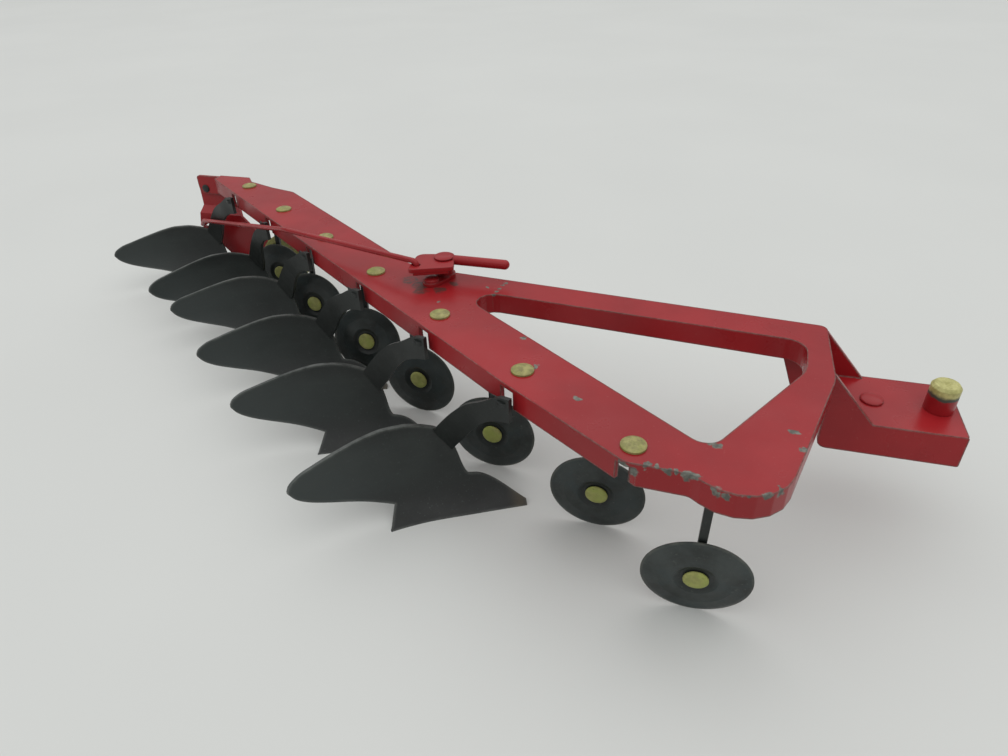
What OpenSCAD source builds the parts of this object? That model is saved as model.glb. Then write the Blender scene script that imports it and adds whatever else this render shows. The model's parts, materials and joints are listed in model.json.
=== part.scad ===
// Toy six-furrow moldboard plough: a pressed steel frame with seven riveted disc coulters,
// six stamped plough bottoms, a drawbar box with its hitch peg, and a hand lever whose rod
// works the tail wheel. Working coordinates stand on the ground under the first rivet:
// X points the way the plough is pulled, Y to its left, Z up. The finished model is shifted
// so that the foot of the hitch peg is the origin.

/* [Stance and rivet line] */
// Height of the frame's top face above the ground
top_z = 53; // [51:0.5:57]
// Distance from one frame rivet to the next
rivet_pitch = 43; // [42:0.25:46]
// Angle of the rivet line from the direction of travel
rake = 36.35; // [35:0.25:38]

/* [Frame] */
// Thickness of the frame's sheet
sheet = 1.3; // [1:0.1:1.6]
// Depth of the turned-down edge, sheet included
skirt_depth = 7; // [6:0.25:8]
// Beam edge beside the first rivet, from the rivet line
near_front = 5.9; // [5.5:0.1:6.5]
// Beam edge beside the second rivet, from the rivet line
near_second = 7.9; // [7:0.1:8.5]
// Beam edge at the tail, from the rivet line
near_tail = 9.3; // [8.5:0.1:10]
// Far beam edge from the rivet line
far_side = 12.9; // [12:0.1:14]
// Front face of the frame ahead of the first rivet
front_x = 49.2; // [47:0.2:52]
// Left edge of the frame at its front
left_y = 71.9; // [71.4:0.1:76]
// Angle of the left member from the direction of travel
left_taper = 4.9; // [4:0.1:6]
// Width of the left member
left_width = 11.4; // [10:0.2:13]
// Radius of the frame's round nose
nose_r = 13; // [10:0.5:14]
// Width of the skirt's notch at each rivet
notch_w = 5.2; // [4.8:0.1:6]
// Notch position ahead of the rivet, along the beam
notch_ahead = 2.6; // [2.5:0.1:3]

/* [Rivets] */
// Radius of a frame rivet's head
head_r = 3.25; // [2.8:0.05:3.6]
// Height of a frame rivet's head
head_h = 1.5; // [1:0.1:2]
// Radius of a frame rivet's shank
shank_r = 1.5; // [1.2:0.05:1.8]
// Radial clearance of every shank in its hole
fit = 0.06; // [0.03:0.01:0.1]

/* [Coulters] */
// Radius of a coulter disc
disc_r = 14.5; // [13.5:0.1:15]
// Thickness of a coulter disc at its centre
disc_t = 0.9; // [0.7:0.05:1.2]
// Thickness of the coulter arm's sheet
arm_t = 1.4; // [1.2:0.05:1.6]
// Width of a coulter leg
leg_w = 2.2; // [1.8:0.1:3]
// Radius of the eye behind a disc
eye_r = 3.4; // [3:0.1:4]
// Radius of the rivet head on a disc
hub_head_r = 3; // [2.5:0.1:3.4]
// Running clearance on each side of a disc
disc_play = 0.3; // [0.2:0.05:0.4]

/* [Plough bottoms] */
// Thickness of a bottom's sheet
bottom_t = 1.4; // [1.2:0.05:1.7]
// Angle of the share's cutting edge from the direction of travel
share_angle = 27; // [24:0.5:32]
// Length of the share's cutting edge
share_length = 43.4; // [40:0.2:46]
// Slope of the share at its cutting edge
share_slope = 48; // [44:0.5:54]
// Height at which the sheet stands upright
upright_z = 30; // [27:0.5:33]
// Distance along the share where the wing begins to curve
wing_start = 26; // [24.5:0.5:30]
// Radius of the wing's curve in plan
wing_r = 80; // [70:1:110]
// Length of the moldboard along the share's direction
wing_length = 71.2; // [67:0.2:75]
// Height of the moldboard's crest
crest_z = 29.4; // [28:0.2:31]
// Width of the arm that carries a bottom
shank_w = 7; // [6:0.1:7.6]

/* [Hitch] */
// Top of the drawbar plate above the ground
hitch_z = 37.5; // [34:0.25:40]
// Front end of the drawbar box
hitch_front = 86.8; // [84:0.2:92]
// Right side of the drawbar box
hitch_right = 45; // [44:0.2:47]
// Left side of the drawbar box
hitch_left = 70.9; // [69:0.1:71.3]
// Thickness of the drawbar box's sheet
hitch_t = 1.5; // [1.2:0.1:2]
// Depth of the drawbar box's sides
hitch_depth = 10.3; // [8:0.1:12]
// Length of the ears on the drawbar plate
ear_length = 13.2; // [10:0.2:15]
// Radius of the hitch peg
peg_r = 4; // [3.5:0.05:4.5]
// Height of the hitch peg
peg_h = 8.8; // [7.5:0.1:11]
// Hitch peg's distance from the front end
peg_setback = 5.5; // [5:0.1:8]

/* [Lever and rod] */
// Height of the lever's post
post_h = 5.6; // [4.8:0.1:7]
// Thickness of the lever's plate
lever_t = 1.4; // [1.2:0.1:2]
// Length of the lever's handle from its pivot
handle_length = 24; // [20:0.5:30]
// Radius of the round handle
handle_r = 1.7; // [1.4:0.1:2]
// Radius of the rod
rod_r = 1; // [0.8:0.05:1.2]

/* [Tail wheel] */
// Radius of the tail wheel
wheel_r = 12.8; // [12.2:0.1:13.4]
// Width of the tail wheel's rim
wheel_w = 3.6; // [3:0.1:4]
// Thickness of the tail arm's sheet
tail_t = 1.3; // [1:0.1:1.6]

/* [Hidden] */
$fn = 48;

// Columns: hub ahead of its rivet, hub to the left of its rivet, turn about Z, tip about X
COULTERS = [
    [19.4, -2.2, 1.9, 7.0],
    [23.4, -2.6, -0.7, 5.1],
    [19.0, -8.0, -0.6, 1.2],
    [16.8, -8.7, -5.6, -0.8],
    [19.3, -12.9, 4.1, -6.9],
    [15.5, -13.0, 0.0, -3.0],
    [16.6, -12.2, 0.0, -3.0]
];
// Columns: turn of the bottom from the share angle, nose ahead and to the left of its rivet
BOTTOMS = [
    [1.0, -0.2, 0.8],
    [-12.3, -3.1, -5.9],
    [-8.0, -3.6, 0.3],
    [-11.5, -3.8, 0.7],
    [2.9, 2.0, 4.9],
    [-5.7, -5.4, 0.3]
];

steel = [0.19, 0.20, 0.19];
paint = [0.66, 0.16, 0.17];
zinc = [0.74, 0.73, 0.42];

// Directions along the rivet line to the rear, and from it to the plough's right
BACK = [-cos(rake), sin(rake)];
SIDE = [-sin(rake), -cos(rake)];
under_plate = top_z - sheet;
skirt_z = top_z - skirt_depth;
coulter_tab_z = under_plate - arm_t;
shank_tab_z = coulter_tab_z - bottom_t;
LAST = 6;

function unit(v) = v / norm(v);
function on_line(along, aside) = along * BACK + aside * SIDE;
function rivet_xy(i) = on_line(i * rivet_pitch, 0);

// Where the line through p along a meets the line through q along b
function meet(p, a, q, b) = p + a * cross(q - p, b) / cross(a, b);

// One corner of an outline as points: an arc of radius r that touches both sides
function corner(a, b, c, r, steps) =
    let (u = unit(a - b), v = unit(c - b))
    let (half = acos(max(-1, min(1, u * v))) / 2)
    r <= 0 || half > 89.7 ? [b] :
    let (centre = b + unit(u + v) * r / sin(half))
    let (from = b + u * r / tan(half) - centre, to = b + v * r / tan(half) - centre)
    let (start = atan2(from[1], from[0]))
    let (sweep = (atan2(to[1], to[0]) - start + 900) % 360 - 180)
    [for (i = [0:steps]) centre + r * [cos(start + sweep * i / steps), sin(start + sweep * i / steps)]];

// Closed outline from rows of [x, y, corner radius]
function outline(rows, steps = 6) =
    let (n = len(rows), p = [for (row = rows) [row[0], row[1]]])
    [for (i = [0:n - 1]) each corner(p[(i + n - 1) % n], p[i], p[(i + 1) % n], rows[i][2], steps)];

// The same rows moved inwards by d, for rows that run anticlockwise
function inset(rows, d) =
    let (n = len(rows), p = [for (row = rows) [row[0], row[1]]])
    [for (i = [0:n - 1])
        let (a = p[(i + n - 1) % n], b = p[i], c = p[(i + 1) % n])
        let (u = unit(b - a), v = unit(c - b))
        let (q = meet(b + d * [-u[1], u[0]], u, b + d * [-v[1], v[0]], v))
        let (r = rows[i][2] + (cross(u, v) > 0 ? -d : d))
        [q[0], q[1], r < 0.4 ? 0 : r]];

// Outline of a link with round ends of radius rp at p and rq at q
function link(p, rp, q, rq, steps = 10) =
    let (d = q - p, aim = atan2(d[1], d[0]), lap = acos((rp - rq) / norm(d)))
    concat(
        [for (i = [0:steps]) let (t = aim + lap + (360 - 2 * lap) * i / steps)
            p + rp * [cos(t), sin(t)]],
        [for (i = [0:steps]) let (t = aim - lap + 2 * lap * i / steps)
            q + rq * [cos(t), sin(t)]]
    );

// Half profile of a low round head of radius a and height h that stands on z
function dome(a, h, z, steps = 6) =
    [for (i = [0:steps]) [a * cos(90 * i / steps), z + h * (0.35 + 0.65 * sin(90 * i / steps))]];

// A straight-shanked rivet: head on top at z = 0, tail head below the stack that it grips
module rivet(head_radius, head_height, shank_radius, grip, tail_radius, tail_height) {
    rotate_extrude()
        polygon(concat(
            [[0, -grip - tail_height], [tail_radius * 0.8, -grip - tail_height],
             [tail_radius, -grip - tail_height * 0.6], [tail_radius, -grip],
             [shank_radius, -grip], [shank_radius, 0], [head_radius, 0]],
            dome(head_radius, head_height, 0)
        ));
}

// Everything is drawn standing on the ground and then moved to the hitch peg's foot
module place() {
    translate([-(hitch_front - peg_setback), -(hitch_right + hitch_left) / 2, -hitch_z])
        children();
}

// Frame
beam_corner = on_line(-2.8, near_front);
left_way = [cos(left_taper), -sin(left_taper)];
left_corner = [front_x, left_y];
left_inner = left_corner - left_width * [sin(left_taper), cos(left_taper)];
beam_left = meet(on_line(0, -far_side), BACK, left_corner, left_way);
tail_xy = rivet_xy(LAST);
// Plate at the tail that the wheel's arm hangs on: its outer face, ends and depth
tail_face = tail_xy[1] + 12.3;
tail_front = tail_xy[0] - 9;
tail_rear = tail_xy[0] - 39.2;
tail_plate_depth = 9.8;
near_rear = on_line(LAST * rivet_pitch, near_tail);
near_way = unit(near_rear - on_line(rivet_pitch, near_second));
tongue_end = tail_xy[0] - 25;
tongue_corner = meet(near_rear, near_way, [tongue_end, 0], [0, 1]);

FRAME_ROWS = [
    [beam_corner[0], beam_corner[1], 1.5],
    [14.2, -6.9, 3],
    [31.7, -20.3, nose_r],
    [front_x, 42, 20],
    [left_corner[0], left_corner[1], 2.5],
    [beam_left[0], beam_left[1], 30],
    each [for (row = [[-22.7, -13, 4], [-9.7, -8, 3], [6.5, -3.5, 2]])
        let (p = on_line(LAST * rivet_pitch + row[0], row[1])) [p[0], p[1], row[2]]],
    [tail_front + 1, tail_face, 1.5],
    [tongue_end, tail_face, 0],
    [tongue_corner[0], tongue_corner[1], 1],
    [on_line(rivet_pitch, near_second)[0], on_line(rivet_pitch, near_second)[1], 40]
];

opening_low = [19.9, 7.1];
opening_mid = [41.8, 44.6];
opening_x = 43;
opening_a = meet(on_line(0, -far_side - 0.2), BACK, opening_low, opening_mid - opening_low);
opening_b = meet([opening_x, 0], [0, 1], left_inner, left_way);
opening_c = meet(on_line(0, -far_side - 0.2), BACK, left_inner, left_way);
OPENING_ROWS = [
    [opening_a[0], opening_a[1], 4.8],
    [opening_mid[0], opening_mid[1], 15],
    [opening_b[0], opening_b[1], 6],
    [opening_c[0], opening_c[1], 5.6]
];

module frame_notches() {
    for (i = [0:LAST])
        translate([rivet_xy(i)[0], rivet_xy(i)[1], skirt_z - 1])
            rotate([0, 0, -rake])
                translate([notch_ahead - notch_w / 2, -near_tail - 3, 0])
                    cube([notch_w, 8, skirt_depth - sheet + 0.9]);
}

module frame() {
    color(paint) place() difference() {
        union() {
            translate([0, 0, skirt_z])
                linear_extrude(skirt_depth)
                    difference() {
                        polygon(outline(FRAME_ROWS));
                        polygon(outline(OPENING_ROWS));
                    }
            tail_plate();
        }
        translate([0, 0, skirt_z - 1])
            linear_extrude(skirt_depth - sheet + 1)
                difference() {
                    polygon(outline(inset(FRAME_ROWS, sheet)));
                    polygon(outline(inset(OPENING_ROWS, -sheet)));
                }
        frame_notches();
        for (i = [0:LAST])
            translate([rivet_xy(i)[0], rivet_xy(i)[1], skirt_z])
                cylinder(r = shank_r + fit, h = skirt_depth + 1);
        translate([lever_x, lever_y, skirt_z])
            cylinder(r = lever_pin_r + fit, h = skirt_depth + 1);
        translate([tail_pivot_x, tail_face + 1, tail_pivot_z])
            rotate([90, 0, 0])
                cylinder(r = tail_pin_r + fit, h = sheet + 2);
    }
}

// Side plate behind the beam's end, in the plane of the far skirt
module tail_plate() {
    rows = [
        [tail_front - 3, -0.4, 0],
        [tail_front - 3, -skirt_depth, 0],
        [tail_front - 8, -skirt_depth, 0],
        [tail_front - 14, -tail_plate_depth, 3],
        [tail_rear, -tail_plate_depth, 3.5],
        [tail_rear, -0.4, 1.5]
    ];
    translate([0, tail_face, top_z])
        rotate([90, 0, 0])
            linear_extrude(sheet)
                polygon(outline(rows));
}

// Coulters
function hub(i) =
    [rivet_xy(i)[0] + COULTERS[i][0], rivet_xy(i)[1] + COULTERS[i][1], disc_r];
disc_back = disc_t / 2 + disc_play;
// Radius of the arm's tab round its rivet, and where its leg turns down
tab_r = 3;
tab_end_r = leg_w / 2 + 0.2;

// Local Z of what stands in here is the disc's own axis, towards the plough's right
module at_hub(i) {
    translate(hub(i))
        rotate([COULTERS[i][3], 0, COULTERS[i][2]])
            rotate([90, 0, 0])
                children();
}

// Middle of arm i's leg at its top, where it leans back from the hub with the disc
function leg_top(i) =
    let (tip = COULTERS[i][3], turn = COULTERS[i][2], back = disc_back + arm_t / 2)
    let (y = (back - (coulter_tab_z + arm_t / 2 - disc_r) * sin(tip)) / cos(tip))
    [hub(i)[0] - y * sin(turn), hub(i)[1] + y * cos(turn)];

// A tab under the frame that narrows forwards, a leg down behind the disc, and its eye
module coulter_arm(i) {
    leg = (coulter_tab_z + arm_t / 2 - disc_r) / cos(COULTERS[i][3]);
    color(steel) place() difference() {
        union() {
            translate([0, 0, coulter_tab_z])
                linear_extrude(arm_t)
                    polygon(link(rivet_xy(i), tab_r, leg_top(i), tab_end_r));
            at_hub(i)
                translate([-leg_w / 2, 0, -disc_back - arm_t])
                    cube([leg_w, leg, arm_t]);
            at_hub(i)
                translate([0, 0, -disc_back - arm_t])
                    cylinder(r = eye_r, h = arm_t);
        }
        translate([rivet_xy(i)[0], rivet_xy(i)[1], coulter_tab_z - 1])
            cylinder(r = shank_r + fit, h = arm_t + 2);
        at_hub(i)
            translate([0, 0, -disc_back - arm_t - 1])
                cylinder(r = shank_r + fit, h = arm_t + 2);
    }
}

// Columns: radius, rise of the disc's right face from its dimple, thickness there
DISC_ROWS = [
    [4.4, 0, 1],
    [5.8, 0.7, 1],
    [10, 0.5, 0.9],
    [13.4, 0, 0.8],
    [14.5, -0.3, 0.35]
];

// A dished disc with a dimple round its rivet
module coulter_disc(i) {
    front = disc_t / 2;
    grow = disc_r / 14.5;
    color(steel) place() at_hub(i)
        rotate_extrude()
            polygon(concat(
                [[shank_r + fit, front - disc_t], [shank_r + fit, front]],
                [for (row = DISC_ROWS) [row[0] * grow, front + row[1]]],
                [for (k = [len(DISC_ROWS) - 1:-1:0])
                    let (row = DISC_ROWS[k]) [row[0] * grow, front + row[1] - row[2] * disc_t]]
            ));
}

module coulter_pin(i) {
    grip = 2 * disc_play + disc_t + arm_t;
    color(zinc) place() at_hub(i)
        translate([0, 0, disc_t / 2 + disc_play])
            rivet(hub_head_r, 1.1, shank_r, grip, 2.4, 0.9);
}

module frame_rivet(i) {
    grip = top_z - (i == 0 ? coulter_tab_z : shank_tab_z);
    color(zinc) place()
        translate([rivet_xy(i)[0], rivet_xy(i)[1], top_z])
            rivet(head_r, head_h, shank_r, grip, 2.5, 1.1);
}

// Plough bottoms. In the bottom's own frame the share's nose is the origin, the cutting
// edge runs along -Y and the face looks towards +X.
sheet_r = upright_z / sin(share_slope);
sheet_x = sheet_r * cos(share_slope);

module at_bottom(i) {
    translate([nose(i)[0], nose(i)[1], 0])
        rotate([0, 0, bottom_aim(i)])
            children();
}

// Outline of the sheet, as distance along the share and height: the upper edge over nose,
// shin, crest and wing, and the wing's lower edge behind the share
TOP_EDGE = [
    [-0.8, 1.6], [13.5, 10.1], [16.6, 10.5], [17.7, 12], [19.9, 18.7], [22.5, 23.2],
    [25.1, 26.3], [28, 27.5], [31, 28.4], [36.2, 29.3], [41.5, 29.4], [46.9, 28.7],
    [52.3, 27.5], [57.6, 26.2], [62.8, 24.9], [67, 23.9], [69.3, 22.8], [70.6, 21.8], [71.2, 20.6]
];
WING_EDGE = [[41.2, 5.9], [49.8, 8.9], [59.8, 12.2], [65, 14.4], [68, 16.2], [69.8, 17.8], [71.2, 19.8]];
SHARE_STATIONS = [-0.8, 3, 7, 10.5, 13.5, 16.6, 17.7, 18.8, 19.9, 21.2, 22.5, 25.1, 28, 31, 34.6, 38, 41.2];
WING_STATIONS = [44, 47, 50, 53, 56, 59, 62, 65, 67, 68.6, 69.8, 70.6, 71.2];
share_end = 41.2;
table_end = 71.2;
table_crest = 29.4;
share_rows = 2;
all_rows = 8;

function top_edge(u) = lookup(u, TOP_EDGE) * (u < 17 ? 1 : crest_z / table_crest);
function wing_u(u) = share_end + (u - share_end) * (wing_length - share_end) / (table_end - share_end);

// Point of the working face at distance u along the share and height z: an arc that slopes
// at the share and stands up at the crest, curved outwards in plan along the wing
function face_point(u, z) =
    let (x = sheet_x - sqrt(pow(sheet_r, 2) - pow(upright_z - z, 2)))
    [u > wing_start ? wing_r - sqrt(pow(wing_r - x, 2) - pow(u - wing_start, 2)) : x, -u, z];

// The same point on the sheet's back, ground off flat where it would reach into the ground
function back_point(u, z, e = 0.01) =
    let (p = face_point(u, z) + bottom_t * unit(cross(
        face_point(u + e, z) - face_point(u - e, z),
        face_point(u, z + e) - face_point(u, z - e)
    )))
    [p[0], p[1], max(0, p[2])];

// One station as rows of [u, z], from the cutting edge over the share line to the top
function station(u) =
    let (low = [-0.8 + (u + 0.8) * (share_length + 0.8) / (share_end + 0.8), 0])
    let (middle = [u, min(lookup(share_end, WING_EDGE), 0.6 * top_edge(u))], top = [u, top_edge(u)])
    [for (k = [0:all_rows]) k < share_rows ?
        low + (middle - low) * k / share_rows :
        middle + (top - middle) * (k - share_rows) / (all_rows - share_rows)];

function wing_station(u) =
    let (low = [wing_u(u), lookup(u, WING_EDGE)], top = [wing_u(u), top_edge(u)])
    [for (k = [0:all_rows]) low + (top - low) * max(0, k - share_rows) / (all_rows - share_rows)];

// Share and moldboard as one curved sheet
module bottom_sheet() {
    rows = concat(
        [for (u = SHARE_STATIONS) station(u)],
        [for (u = WING_STATIONS) wing_station(u)]
    );
    last = len(rows) - 1;
    split = len(SHARE_STATIONS) - 1;
    w = all_rows + 1;
    n = len(rows) * w;
    rim = concat(
        [for (j = [0:split]) j * w],
        [for (k = [1:share_rows]) split * w + k],
        [for (j = [split + 1:last]) j * w + share_rows],
        [for (k = [share_rows + 1:all_rows]) last * w + k],
        [for (j = [last - 1:-1:0]) j * w + all_rows],
        [for (k = [all_rows - 1:-1:1]) k]
    );
    cells = [for (j = [0:last - 1]) for (k = [j < split ? 0 : share_rows:all_rows - 1]) j * w + k];
    polyhedron(
        concat(
            [for (row = rows) for (p = row) face_point(p[0], p[1])],
            [for (row = rows) for (p = row) back_point(p[0], p[1])]
        ),
        concat(
            [for (c = cells) each [[c, c + w, c + w + 1], [c, c + w + 1, c + 1]]],
            [for (c = cells) each [[n + c, n + c + w + 1, n + c + w], [n + c, n + c + 1, n + c + w + 1]]],
            [for (i = [0:len(rim) - 1])
                let (p = rim[i], q = rim[(i + 1) % len(rim)])
                each [[q, p, n + q], [p, n + p, n + q]]]
        )
    );
}

// The arm that carries a bottom is a strip in an upright plane from the skirt's notch to the
// sheet's shin. Its outline down the upper edge and back up the lower one: part of the way
// to the sheet, height from the fold, corner radius
SHANK_ROWS = [
    [0, 0, 0],
    [0.17, 0, 4],
    [0.33, -3.2, 10],
    [0.56, -7.6, 12],
    [0.75, -13.6, 16],
    [0.93, -20.6, 20],
    [1.07, -26.3, 0],
    [0.79, -29.6, 0.6],
    [0.63, -22.9, 14],
    [0.48, -16, 12],
    [0.31, -10, 12],
    [0, -6.2, 0.6]
];
// Rows on the upper edge, and the arm's width that the table is drawn for
upper_rows = 7;
drawn_w = 7;
// Where the arm meets the sheet, as distance along the share and depth of the sheet there
foot_u = 24.5;
foot_x = -12.4;
shank_gap = 0.35;
fold_back = 5.3;
// Radius of the arm's tab round its rivet, and at its fold
shank_tab_r = 2.9;
fold_r = 1.4;

// Beam edge beside rivet i, from the rivet line
function near_at(i) =
    i == 0 ? near_front : near_second + (near_tail - near_second) * (i - 1) / (LAST - 1);

function turned(p, a) = [p[0] * cos(a) - p[1] * sin(a), p[0] * sin(a) + p[1] * cos(a)];
function nose(i) = rivet_xy(i + 1) + [BOTTOMS[i][1], BOTTOMS[i][2]];
function bottom_aim(i) = share_angle - 90 + BOTTOMS[i][0];

// Outer face of bottom i's arm where it leaves the notch, and its way from there to the sheet
function shank_start(i) =
    rivet_xy(i + 1) + on_line(-fold_back, near_at(i + 1) + shank_gap + bottom_t);
function shank_way(i) = nose(i) + turned([foot_x, -foot_u], bottom_aim(i)) - shank_start(i);
function shank_aim(i) = atan2(shank_way(i)[1], shank_way(i)[0]);

function shank_rows(i) =
    [for (k = [0:len(SHANK_ROWS) - 1])
        let (row = SHANK_ROWS[k], drop = k < upper_rows ? 0 : shank_w - drawn_w)
        [row[0] * norm(shank_way(i)), row[1] - drop, row[2]]];

// What stands in here has its X along the arm and the arm's outer face on its XZ plane
module at_shank(i, z) {
    translate([shank_start(i)[0], shank_start(i)[1], z])
        rotate([0, 0, shank_aim(i)])
            children();
}

module shank_strip(i) {
    at_shank(i, coulter_tab_z)
        rotate([90, 0, 0])
            linear_extrude(bottom_t)
                polygon(outline(shank_rows(i)));
}

// The tab under the frame rivet, which runs out through the notch to the strip's fold
module shank_tab(i) {
    out = shank_start(i) + 0.36 * fold_back * unit(shank_way(i));
    intersection() {
        translate([0, 0, shank_tab_z])
            linear_extrude(bottom_t)
                polygon(link(rivet_xy(i + 1), shank_tab_r, out, fold_r));
        at_shank(i, shank_tab_z - 1)
            translate([-20, -40, 0])
                cube([60, 40, bottom_t + 2]);
    }
}

// What lies behind the middle of the sheet, where the arm's foot is cut away
module behind_sheet() {
    translate([0, 40, 0])
        rotate([90, 0, 0])
            linear_extrude(120)
                difference() {
                    translate([-100, -100])
                        square([100 + sheet_x, 300]);
                    translate([sheet_x, upright_z])
                        circle(r = sheet_r + bottom_t / 2, $fn = 96);
                }
}

module bottom(i) {
    color(steel) place() difference() {
        union() {
            at_bottom(i) bottom_sheet();
            difference() {
                shank_strip(i);
                at_bottom(i) behind_sheet();
            }
            shank_tab(i);
        }
        translate([rivet_xy(i + 1)[0], rivet_xy(i + 1)[1], shank_tab_z - 1])
            cylinder(r = shank_r + fit, h = bottom_t + 2);
    }
}

// Hitch
peg_x = hitch_front - peg_setback;
peg_y = (hitch_right + hitch_left) / 2;
peg_shank_r = 2.4;
far_wall_rear = front_x - 12.2;
hitch_rivet_x = front_x + 14.4;

// One side of the drawbar box from its bolting edge: ear, side and, on the left, a tongue
// that runs on under the frame
module hitch_side(under_frame) {
    low = hitch_z - hitch_depth;
    rear = under_frame ?
        [[front_x, skirt_z - 0.2, 0], [far_wall_rear, skirt_z - 0.2, 0.6], [far_wall_rear + 7, low, 2]] :
        [[front_x, low, 2.5]];
    rows = concat(
        [[front_x, top_z - 0.4, 0.3]], rear,
        [[hitch_front, low, 0.5], [hitch_front, hitch_z, 0.5], [front_x + ear_length, hitch_z, 0.4]]
    );
    rotate([90, 0, 0])
        linear_extrude(hitch_t)
            polygon(outline(rows, 3));
}

module hitch_box() {
    color(paint) place() difference() {
        union() {
            translate([front_x, hitch_right + hitch_t / 2, hitch_z - hitch_t])
                cube([hitch_front - front_x, hitch_left - hitch_right - hitch_t, hitch_t]);
            translate([0, hitch_right + hitch_t, 0]) hitch_side(false);
            translate([0, hitch_left, 0]) hitch_side(true);
        }
        translate([peg_x, peg_y, hitch_z - hitch_t - 1])
            cylinder(r = peg_shank_r + fit, h = hitch_t + 2);
        translate([hitch_rivet_x, peg_y, hitch_z - hitch_t - 1])
            cylinder(r = shank_r + fit, h = hitch_t + 2);
    }
}

module hitch_rivet() {
    color(paint) place()
        translate([hitch_rivet_x, peg_y, hitch_z])
            rivet(head_r, 1.1, shank_r, hitch_t, 2.5, 1);
}

// Turned peg with a chamfered top and a centre dimple, riveted over below the plate
module hitch_peg() {
    color(paint) place()
        translate([peg_x, peg_y, hitch_z])
            rotate_extrude()
                polygon([
                    [0, -hitch_t - 1.1], [peg_shank_r + 0.8, -hitch_t - 1.1],
                    [peg_shank_r + 1.2, -hitch_t], [peg_shank_r, -hitch_t], [peg_shank_r, 0],
                    [peg_r, 0], [peg_r, peg_h - 0.9], [peg_r - 0.7, peg_h], [1.1, peg_h],
                    [0, peg_h - 0.6]
                ]);
}

// Lever
lever_x = rivet_xy(2)[0] - 8.4;
lever_y = rivet_xy(2)[1] + 27.9;
lever_pin_r = 1.6;
lever_play = 0.2;
post_r = 2.9;
lever_z = top_z + post_h + lever_play;
// Rod hole in the lever, from its pivot
rod_hole = [-7.2, -8.0];

// Post with an oval foot and a low round stop beside it
module lever_post() {
    color(paint) place() translate([lever_x, lever_y, top_z]) difference() {
        union() {
            cylinder(r = post_r + 0.7, h = 1.5);
            cylinder(r = post_r, h = post_h);
            linear_extrude(1.2)
                polygon(link([0, 0], 3.4, [-2.6, -6.8], 3.3));
            translate([-2.6, -6.8, 1.2])
                rotate_extrude()
                    polygon(concat([[0, 0], [2.7, 0]], dome(2.7, 1.6, 0)));
        }
        translate([0, 0, -1])
            cylinder(r = lever_pin_r + fit, h = post_h + 2);
    }
}

LEVER_ROWS = [
    [-8.9, -12.6, 1.2],
    [5.9, -6.8, 1.2],
    [2.6, 3.8, 3],
    [-10.3, 0.8, 3]
];

// Bell-crank plate with a turned-down near edge, and a round handle
module lever() {
    edge = [LEVER_ROWS[1][0] - LEVER_ROWS[0][0], LEVER_ROWS[1][1] - LEVER_ROWS[0][1]];
    color(paint) place() translate([lever_x, lever_y, lever_z]) difference() {
        union() {
            linear_extrude(lever_t)
                polygon(outline(LEVER_ROWS));
            translate([LEVER_ROWS[0][0], LEVER_ROWS[0][1], lever_t - 2.4])
                rotate([0, 0, atan2(edge[1], edge[0])])
                    translate([1.8, 0.1, 0])
                        cube([norm(edge) - 3.6, 1, 2]);
            translate([1.5, 0, lever_t / 2 + 0.2])
                rotate([0, 90, 0])
                    cylinder(r = handle_r, h = handle_length - handle_r - 1.5);
            translate([handle_length - handle_r, 0, lever_t / 2 + 0.2])
                sphere(r = handle_r);
        }
        translate([0, 0, -2])
            cylinder(r = lever_pin_r + fit, h = 6);
        translate([0, 0, -2])
            cylinder(r = post_r + 0.4, h = 2);
        translate([0, 0, lever_t])
            cylinder(r = head_r + 0.6, h = 4);
        translate([rod_hole[0], rod_hole[1], -2])
            cylinder(r = rod_r + 0.3, h = 6);
    }
}

module lever_rivet() {
    color(paint) place()
        translate([lever_x, lever_y, lever_z + lever_t + lever_play])
            rivet(head_r + 0.3, head_h, lever_pin_r,
                  lever_z + lever_t + lever_play - under_plate, 2.3, 1.1);
}

// Tail arm and wheel
tail_pin_r = 1.1;
tail_pivot_x = tail_xy[0] - 35.2;
tail_pivot_z = top_z - 7;
axle_x = tail_xy[0] + 7.8;
axle_r = 1.5;
arm_gap = 0.3;
// Step of the arm's lower half towards the beam, and the heights between which it runs
arm_step = 3.5;
step_top = 36.5;
step_low = 33.2;
arm_face = tail_face + arm_gap;
wheel_face = arm_face - arm_step - 0.5;
rod_pin = [tail_pivot_x - 4.5, tail_pivot_z - 18.4];

// The arm seen from its side, from the last rivet, and its height above the ground
TAIL_ROWS = [
    [-40.2, 51, 4],
    [-40.7, 36, 8],
    [-43.2, 26.2, 3.5],
    [-28.2, 11.5, 5],
    [-20.2, 6.6, 6],
    [13.2, 7.2, 5],
    [13.6, 17.8, 5],
    [-2, 20.5, 10],
    [-11.2, 27.5, 5],
    [-20.7, 38, 4],
    [-24.7, 50, 3]
];

// The arm's sheet from its edge: upper half, step, lower half
module tail_section() {
    t = tail_t;
    polygon([
        [0, top_z + 5], [0, step_top], [-arm_step, step_low], [-arm_step, 0],
        [t - arm_step, 0], [t - arm_step, step_low - t * 0.35], [t, step_top - t * 0.35], [t, top_z + 5]
    ]);
}

module tail_arm() {
    color(paint) place() difference() {
        intersection() {
            translate([tail_xy[0] - 60, arm_face, 0])
                rotate([90, 0, 90])
                    linear_extrude(100)
                        tail_section();
            translate([tail_xy[0], arm_face + 10, 0])
                rotate([90, 0, 0])
                    linear_extrude(30)
                        polygon(outline(TAIL_ROWS));
        }
        translate([tail_pivot_x, arm_face + 4, tail_pivot_z])
            rotate([90, 0, 0])
                cylinder(r = tail_pin_r + fit, h = 8);
        translate([rod_pin[0], arm_face + 2, rod_pin[1]])
            rotate([90, 0, 0])
                cylinder(r = rod_r + 1, h = 12);
        translate([axle_x, arm_face + 2, wheel_r])
            rotate([90, 0, 0])
                cylinder(r = axle_r + fit, h = 12);
    }
}

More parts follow.
